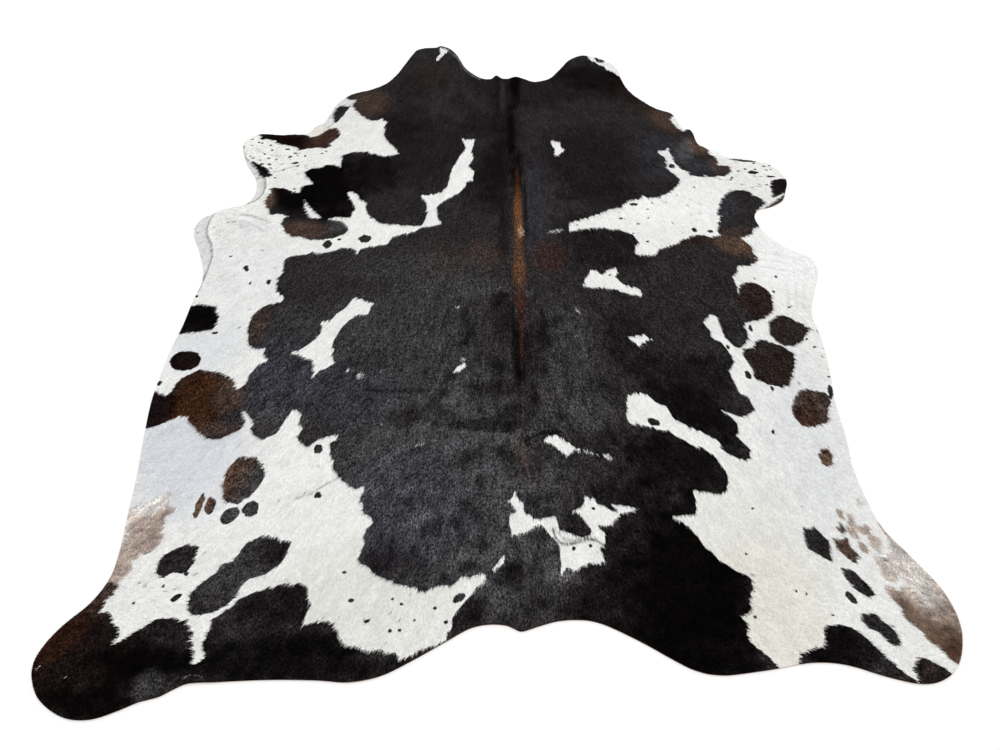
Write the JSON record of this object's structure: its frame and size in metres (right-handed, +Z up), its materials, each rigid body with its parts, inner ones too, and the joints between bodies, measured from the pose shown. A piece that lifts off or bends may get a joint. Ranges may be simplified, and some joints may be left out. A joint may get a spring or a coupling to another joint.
{
  "type": "cowhide rug",
  "caption": "Whole-hide floor rug: one flat sheet of hair-on leather with neck, leg and tail outline and low folds at its rim.",
  "frame": {"origin": "on the floor, under the middle of the hide's bounding box", "axes": "+Y along the spine towards the neck, -Y to the tail, +X to the right of the plan with the neck at the top, +Z up out of the hair side"},
  "size_m": [2.03, 2.342, 0.0178],
  "materials": {
    "hide": "hair-on leather, short sleek hair lying flat, black and white with brown-tinged patch ends"
  },
  "bodies": {
    "root": {"hide": "hide"}
  },
  "joints": []
}
